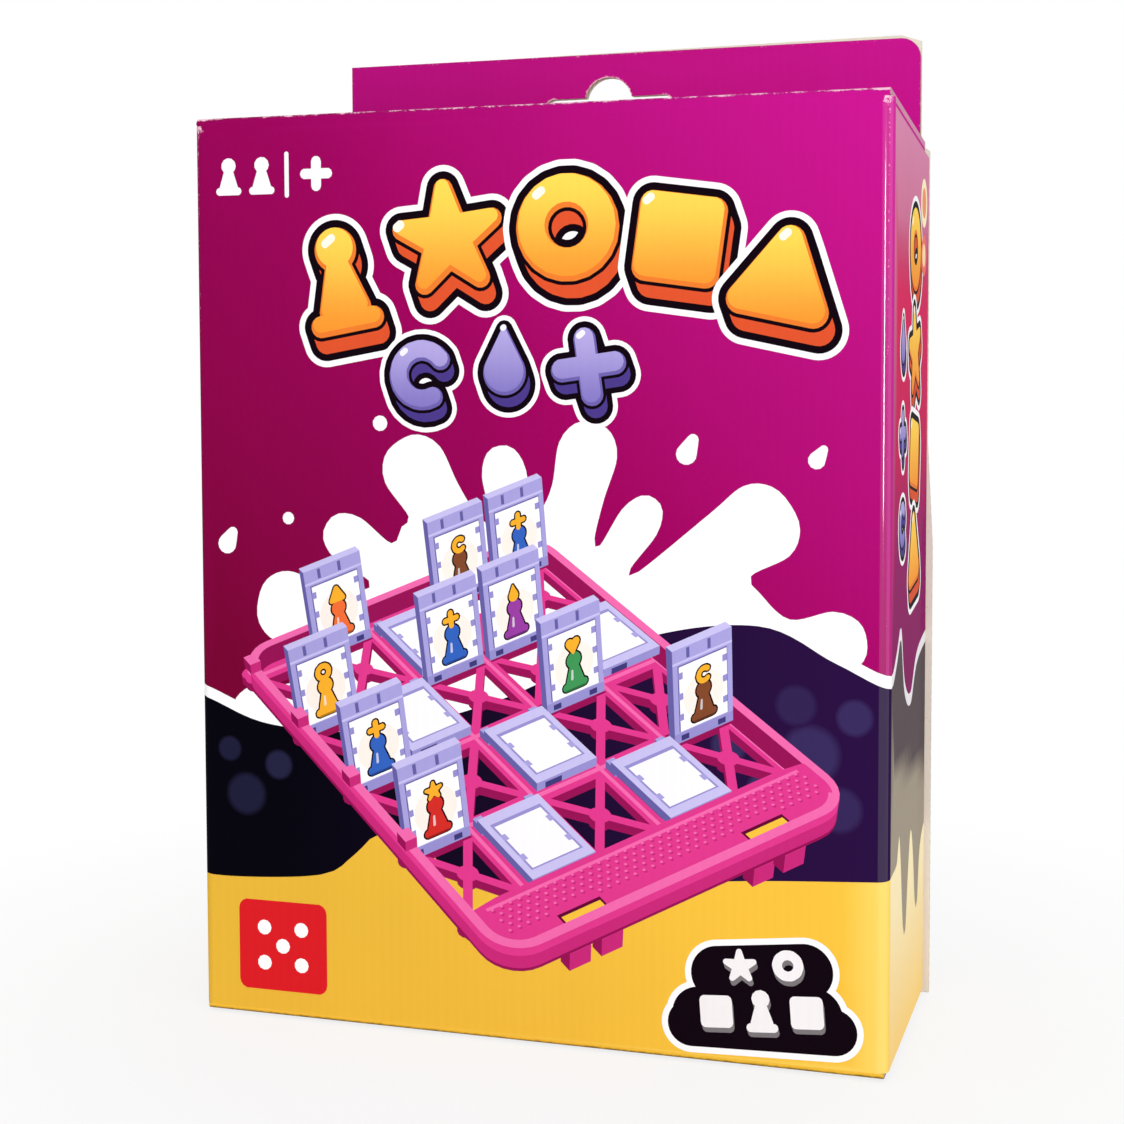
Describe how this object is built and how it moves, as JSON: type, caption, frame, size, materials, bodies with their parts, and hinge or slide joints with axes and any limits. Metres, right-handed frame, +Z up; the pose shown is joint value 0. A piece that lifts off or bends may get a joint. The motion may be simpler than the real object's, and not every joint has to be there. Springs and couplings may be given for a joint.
{
  "type": "travel flip game in a hanging carton",
  "caption": "Travel face guessing flip game: a hanging board carton with a hinged lid, two lattice trays of pinned flip frames with cards, packing, a card deck and rules.",
  "frame": {"origin": "middle of the base that the carton stands on", "axes": "+Z up to the hanging header, +X along the front panel's width to its right, +Y from the front panel to the rear card"},
  "size_m": [0.1566, 0.06, 0.2198],
  "materials": {
    "carton_print": "glossy laminate print on fine fluted board",
    "rear_card": "grey white unprinted card",
    "raw_board": "unprinted inner liner",
    "tray_plastic": "moulded, half gloss",
    "frame_plastic": "moulded, half gloss",
    "packing_board": "plain brown board",
    "card_paper": "coated card",
    "leaflet_paper": "uncoated paper"
  },
  "bodies": {
    "carton": {"front_panel": "carton_print", "left_side_panel": "carton_print", "right_side_panel": "carton_print", "back_panel": "carton_print", "rear_card": "rear_card", "seam_flap": "raw_board", "bottom_flap": "carton_print", "bottom_dust_flaps": "raw_board"},
    "lid": {"lid": "carton_print"},
    "tuck": {"lid_tuck": "carton_print"},
    "left_dust": {"left_dust_flap": "raw_board"},
    "right_dust": {"right_dust_flap": "raw_board"},
    "tray_a": {"tray_a": "tray_plastic"},
    "tray_b": {"tray_b": "tray_plastic"},
    "packing": {"packing_shelf": "packing_board", "packing_legs": "packing_board", "card_deck": "card_paper", "rules_leaflet": "leaflet_paper"},
    "flip_a01": {"flip_a01": "frame_plastic"},
    "flip_a02": {"flip_a02": "frame_plastic"},
    "flip_a03": {"flip_a03": "frame_plastic"},
    "flip_a04": {"flip_a04": "frame_plastic"},
    "flip_a05": {"flip_a05": "frame_plastic"},
    "flip_a06": {"flip_a06": "frame_plastic"},
    "flip_a07": {"flip_a07": "frame_plastic"},
    "flip_a08": {"flip_a08": "frame_plastic"},
    "flip_a09": {"flip_a09": "frame_plastic"},
    "flip_a10": {"flip_a10": "frame_plastic"},
    "flip_a11": {"flip_a11": "frame_plastic"},
    "flip_a12": {"flip_a12": "frame_plastic"},
    "flip_a13": {"flip_a13": "frame_plastic"},
    "flip_a14": {"flip_a14": "frame_plastic"},
    "flip_a15": {"flip_a15": "frame_plastic"},
    "flip_a16": {"flip_a16": "frame_plastic"},
    "flip_a17": {"flip_a17": "frame_plastic"},
    "flip_a18": {"flip_a18": "frame_plastic"},
    "flip_a19": {"flip_a19": "frame_plastic"},
    "flip_a20": {"flip_a20": "frame_plastic"},
    "flip_b01": {"flip_b01": "frame_plastic"},
    "flip_b02": {"flip_b02": "frame_plastic"},
    "flip_b03": {"flip_b03": "frame_plastic"},
    "flip_b04": {"flip_b04": "frame_plastic"},
    "flip_b05": {"flip_b05": "frame_plastic"},
    "flip_b06": {"flip_b06": "frame_plastic"},
    "flip_b07": {"flip_b07": "frame_plastic"},
    "flip_b08": {"flip_b08": "frame_plastic"},
    "flip_b09": {"flip_b09": "frame_plastic"},
    "flip_b10": {"flip_b10": "frame_plastic"},
    "flip_b11": {"flip_b11": "frame_plastic"},
    "flip_b12": {"flip_b12": "frame_plastic"},
    "flip_b13": {"flip_b13": "frame_plastic"},
    "flip_b14": {"flip_b14": "frame_plastic"},
    "flip_b15": {"flip_b15": "frame_plastic"},
    "flip_b16": {"flip_b16": "frame_plastic"},
    "flip_b17": {"flip_b17": "frame_plastic"},
    "flip_b18": {"flip_b18": "frame_plastic"},
    "flip_b19": {"flip_b19": "frame_plastic"},
    "flip_b20": {"flip_b20": "frame_plastic"}
  },
  "joints": [
    {"name": "carton_lid_hinge", "type": "hinge", "parent": "carton", "child": "lid", "pos_m": [0, -0.03, 0.2], "axis": [1, 0, 0], "range_deg": [0, 180]},
    {"name": "carton_dust_left_hinge", "type": "hinge", "parent": "carton", "child": "left_dust", "pos_m": [-0.077, -0.00523, 0.19623], "axis": [0, -0.9965, 0.083], "range_deg": [0, 180]},
    {"name": "carton_dust_right_hinge", "type": "hinge", "parent": "carton", "child": "right_dust", "pos_m": [0.077, -0.00523, 0.19623], "axis": [0, 0.9965, -0.083], "range_deg": [0, 180]},
    {"name": "carton_tuck_fold", "type": "hinge", "parent": "lid", "child": "tuck", "pos_m": [0, 0.02557, 0.19366], "axis": [-1, 0, 0], "range_deg": [0, 60]},
    {"name": "contents_lift_a", "type": "slide", "parent": "carton", "child": "tray_a", "axis": [0, 0, 1], "range_m": [0, 0.06]},
    {"name": "contents_lift_b", "type": "slide", "parent": "carton", "child": "tray_b", "axis": [0, 0, 1], "range_m": [0, 0.06]},
    {"name": "contents_lift_packing", "type": "slide", "parent": "carton", "child": "packing", "axis": [0, 0, 1], "range_m": [0, 0.06]},
    {"name": "flip_a01_hinge", "type": "hinge", "parent": "tray_a", "child": "flip_a01", "pos_m": [-0.0536, 0.0227, 0.0604], "axis": [-1, 0, 0], "range_deg": [0, 92]},
    {"name": "flip_a02_hinge", "type": "hinge", "parent": "tray_a", "child": "flip_a02", "pos_m": [-0.0268, 0.0227, 0.0604], "axis": [-1, 0, 0], "range_deg": [0, 92]},
    {"name": "flip_a03_hinge", "type": "hinge", "parent": "tray_a", "child": "flip_a03", "pos_m": [0, 0.0227, 0.0604], "axis": [-1, 0, 0], "range_deg": [0, 92]},
    {"name": "flip_a04_hinge", "type": "hinge", "parent": "tray_a", "child": "flip_a04", "pos_m": [0.0268, 0.0227, 0.0604], "axis": [-1, 0, 0], "range_deg": [0, 92]},
    {"name": "flip_a05_hinge", "type": "hinge", "parent": "tray_a", "child": "flip_a05", "pos_m": [0.0536, 0.0227, 0.0604], "axis": [-1, 0, 0], "range_deg": [0, 92]},
    {"name": "flip_a06_hinge", "type": "hinge", "parent": "tray_a", "child": "flip_a06", "pos_m": [-0.0536, 0.0227, 0.0944], "axis": [-1, 0, 0], "range_deg": [0, 92]},
    {"name": "flip_a07_hinge", "type": "hinge", "parent": "tray_a", "child": "flip_a07", "pos_m": [-0.0268, 0.0227, 0.0944], "axis": [-1, 0, 0], "range_deg": [0, 92]},
    {"name": "flip_a08_hinge", "type": "hinge", "parent": "tray_a", "child": "flip_a08", "pos_m": [0, 0.0227, 0.0944], "axis": [-1, 0, 0], "range_deg": [0, 92]},
    {"name": "flip_a09_hinge", "type": "hinge", "parent": "tray_a", "child": "flip_a09", "pos_m": [0.0268, 0.0227, 0.0944], "axis": [-1, 0, 0], "range_deg": [0, 92]},
    {"name": "flip_a10_hinge", "type": "hinge", "parent": "tray_a", "child": "flip_a10", "pos_m": [0.0536, 0.0227, 0.0944], "axis": [-1, 0, 0], "range_deg": [0, 92]},
    {"name": "flip_a11_hinge", "type": "hinge", "parent": "tray_a", "child": "flip_a11", "pos_m": [-0.0536, 0.0227, 0.1284], "axis": [-1, 0, 0], "range_deg": [0, 92]},
    {"name": "flip_a12_hinge", "type": "hinge", "parent": "tray_a", "child": "flip_a12", "pos_m": [-0.0268, 0.0227, 0.1284], "axis": [-1, 0, 0], "range_deg": [0, 92]},
    {"name": "flip_a13_hinge", "type": "hinge", "parent": "tray_a", "child": "flip_a13", "pos_m": [0, 0.0227, 0.1284], "axis": [-1, 0, 0], "range_deg": [0, 92]},
    {"name": "flip_a14_hinge", "type": "hinge", "parent": "tray_a", "child": "flip_a14", "pos_m": [0.0268, 0.0227, 0.1284], "axis": [-1, 0, 0], "range_deg": [0, 92]},
    {"name": "flip_a15_hinge", "type": "hinge", "parent": "tray_a", "child": "flip_a15", "pos_m": [0.0536, 0.0227, 0.1284], "axis": [-1, 0, 0], "range_deg": [0, 92]},
    {"name": "flip_a16_hinge", "type": "hinge", "parent": "tray_a", "child": "flip_a16", "pos_m": [-0.0536, 0.0227, 0.1624], "axis": [-1, 0, 0], "range_deg": [0, 92]},
    {"name": "flip_a17_hinge", "type": "hinge", "parent": "tray_a", "child": "flip_a17", "pos_m": [-0.0268, 0.0227, 0.1624], "axis": [-1, 0, 0], "range_deg": [0, 92]},
    {"name": "flip_a18_hinge", "type": "hinge", "parent": "tray_a", "child": "flip_a18", "pos_m": [0, 0.0227, 0.1624], "axis": [-1, 0, 0], "range_deg": [0, 92]},
    {"name": "flip_a19_hinge", "type": "hinge", "parent": "tray_a", "child": "flip_a19", "pos_m": [0.0268, 0.0227, 0.1624], "axis": [-1, 0, 0], "range_deg": [0, 92]},
    {"name": "flip_a20_hinge", "type": "hinge", "parent": "tray_a", "child": "flip_a20", "pos_m": [0.0536, 0.0227, 0.1624], "axis": [-1, 0, 0], "range_deg": [0, 92]},
    {"name": "flip_b01_hinge", "type": "hinge", "parent": "tray_b", "child": "flip_b01", "pos_m": [-0.0536, -0.0237, 0.1146], "axis": [-1, 0, 0], "range_deg": [0, 92]},
    {"name": "flip_b02_hinge", "type": "hinge", "parent": "tray_b", "child": "flip_b02", "pos_m": [-0.0268, -0.0237, 0.1146], "axis": [-1, 0, 0], "range_deg": [0, 92]},
    {"name": "flip_b03_hinge", "type": "hinge", "parent": "tray_b", "child": "flip_b03", "pos_m": [0, -0.0237, 0.1146], "axis": [-1, 0, 0], "range_deg": [0, 92]},
    {"name": "flip_b04_hinge", "type": "hinge", "parent": "tray_b", "child": "flip_b04", "pos_m": [0.0268, -0.0237, 0.1146], "axis": [-1, 0, 0], "range_deg": [0, 92]},
    {"name": "flip_b05_hinge", "type": "hinge", "parent": "tray_b", "child": "flip_b05", "pos_m": [0.0536, -0.0237, 0.1146], "axis": [-1, 0, 0], "range_deg": [0, 92]},
    {"name": "flip_b06_hinge", "type": "hinge", "parent": "tray_b", "child": "flip_b06", "pos_m": [-0.0536, -0.0237, 0.0806], "axis": [-1, 0, 0], "range_deg": [0, 92]},
    {"name": "flip_b07_hinge", "type": "hinge", "parent": "tray_b", "child": "flip_b07", "pos_m": [-0.0268, -0.0237, 0.0806], "axis": [-1, 0, 0], "range_deg": [0, 92]},
    {"name": "flip_b08_hinge", "type": "hinge", "parent": "tray_b", "child": "flip_b08", "pos_m": [0, -0.0237, 0.0806], "axis": [-1, 0, 0], "range_deg": [0, 92]},
    {"name": "flip_b09_hinge", "type": "hinge", "parent": "tray_b", "child": "flip_b09", "pos_m": [0.0268, -0.0237, 0.0806], "axis": [-1, 0, 0], "range_deg": [0, 92]},
    {"name": "flip_b10_hinge", "type": "hinge", "parent": "tray_b", "child": "flip_b10", "pos_m": [0.0536, -0.0237, 0.0806], "axis": [-1, 0, 0], "range_deg": [0, 92]},
    {"name": "flip_b11_hinge", "type": "hinge", "parent": "tray_b", "child": "flip_b11", "pos_m": [-0.0536, -0.0237, 0.0466], "axis": [-1, 0, 0], "range_deg": [0, 92]},
    {"name": "flip_b12_hinge", "type": "hinge", "parent": "tray_b", "child": "flip_b12", "pos_m": [-0.0268, -0.0237, 0.0466], "axis": [-1, 0, 0], "range_deg": [0, 92]},
    {"name": "flip_b13_hinge", "type": "hinge", "parent": "tray_b", "child": "flip_b13", "pos_m": [0, -0.0237, 0.0466], "axis": [-1, 0, 0], "range_deg": [0, 92]},
    {"name": "flip_b14_hinge", "type": "hinge", "parent": "tray_b", "child": "flip_b14", "pos_m": [0.0268, -0.0237, 0.0466], "axis": [-1, 0, 0], "range_deg": [0, 92]},
    {"name": "flip_b15_hinge", "type": "hinge", "parent": "tray_b", "child": "flip_b15", "pos_m": [0.0536, -0.0237, 0.0466], "axis": [-1, 0, 0], "range_deg": [0, 92]},
    {"name": "flip_b16_hinge", "type": "hinge", "parent": "tray_b", "child": "flip_b16", "pos_m": [-0.0536, -0.0237, 0.0126], "axis": [-1, 0, 0], "range_deg": [0, 92]},
    {"name": "flip_b17_hinge", "type": "hinge", "parent": "tray_b", "child": "flip_b17", "pos_m": [-0.0268, -0.0237, 0.0126], "axis": [-1, 0, 0], "range_deg": [0, 92]},
    {"name": "flip_b18_hinge", "type": "hinge", "parent": "tray_b", "child": "flip_b18", "pos_m": [0, -0.0237, 0.0126], "axis": [-1, 0, 0], "range_deg": [0, 92]},
    {"name": "flip_b19_hinge", "type": "hinge", "parent": "tray_b", "child": "flip_b19", "pos_m": [0.0268, -0.0237, 0.0126], "axis": [-1, 0, 0], "range_deg": [0, 92]},
    {"name": "flip_b20_hinge", "type": "hinge", "parent": "tray_b", "child": "flip_b20", "pos_m": [0.0536, -0.0237, 0.0126], "axis": [-1, 0, 0], "range_deg": [0, 92]}
  ],
  "couplings": [
    {"joint": "contents_lift_b", "follows": "contents_lift_a", "ratio": 1},
    {"joint": "contents_lift_packing", "follows": "contents_lift_a", "ratio": 1},
    {"joint": "carton_lid_hinge", "follows": "contents_lift_a", "rad_per_m": 52.36},
    {"joint": "carton_dust_left_hinge", "follows": "contents_lift_a", "rad_per_m": 52.36},
    {"joint": "carton_dust_right_hinge", "follows": "contents_lift_a", "rad_per_m": 52.36}
  ]
}
